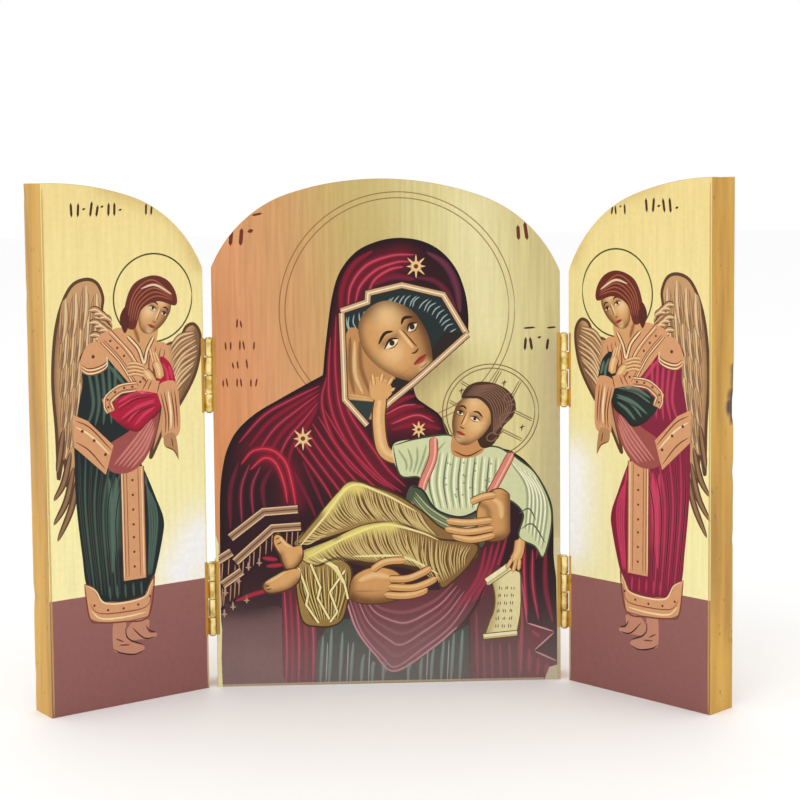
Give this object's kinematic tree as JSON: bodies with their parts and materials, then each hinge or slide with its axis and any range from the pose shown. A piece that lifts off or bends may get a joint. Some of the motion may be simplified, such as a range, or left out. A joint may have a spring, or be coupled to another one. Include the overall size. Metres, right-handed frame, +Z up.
{
  "type": "folding triptych icon",
  "caption": "Small arched wooden triptych icon whose wings swing shut over the painted centre panel on brass butt hinges.",
  "frame": {"origin": "middle of the centre panel's underside, at half its thickness", "axes": "+Z up, +X to the viewer's right across the centre panel, -Y out of the painted face"},
  "size_m": [0.1844, 0.0471, 0.14],
  "materials": {
    "painted_wood": "ochre paint and clear varnish over wood, with the picture printed on the face",
    "hinge_brass": "bright drawn brass"
  },
  "bodies": {
    "center": {"center_panel": "painted_wood", "left_lower_hinge_center_bottom_nail": "hinge_brass", "left_lower_hinge_center_leaf": "hinge_brass", "left_lower_hinge_center_top_nail": "hinge_brass", "left_lower_hinge_pin": "hinge_brass", "left_upper_hinge_center_bottom_nail": "hinge_brass", "left_upper_hinge_center_leaf": "hinge_brass", "left_upper_hinge_center_top_nail": "hinge_brass", "left_upper_hinge_pin": "hinge_brass", "right_lower_hinge_center_bottom_nail": "hinge_brass", "right_lower_hinge_center_leaf": "hinge_brass", "right_lower_hinge_center_top_nail": "hinge_brass", "right_lower_hinge_pin": "hinge_brass", "right_upper_hinge_center_bottom_nail": "hinge_brass", "right_upper_hinge_center_leaf": "hinge_brass", "right_upper_hinge_center_top_nail": "hinge_brass", "right_upper_hinge_pin": "hinge_brass"},
    "left_wing": {"left_lower_hinge_wing_bottom_nail": "hinge_brass", "left_lower_hinge_wing_leaf": "hinge_brass", "left_lower_hinge_wing_top_nail": "hinge_brass", "left_upper_hinge_wing_bottom_nail": "hinge_brass", "left_upper_hinge_wing_leaf": "hinge_brass", "left_upper_hinge_wing_top_nail": "hinge_brass", "left_wing_panel": "painted_wood"},
    "right_wing": {"right_lower_hinge_wing_bottom_nail": "hinge_brass", "right_lower_hinge_wing_leaf": "hinge_brass", "right_lower_hinge_wing_top_nail": "hinge_brass", "right_upper_hinge_wing_bottom_nail": "hinge_brass", "right_upper_hinge_wing_leaf": "hinge_brass", "right_upper_hinge_wing_top_nail": "hinge_brass", "right_wing_panel": "painted_wood"}
  },
  "joints": [
    {"name": "left_wing_swing", "type": "hinge", "parent": "center", "child": "left_wing", "pos_m": [-0.0488, -0.0059, 0], "axis": [0, 0, 1], "range_deg": [-40.3, 147.7]},
    {"name": "right_wing_swing", "type": "hinge", "parent": "center", "child": "right_wing", "pos_m": [0.0488, -0.0059, 0], "axis": [0, 0, -1], "range_deg": [-56.4, 131.6]}
  ]
}
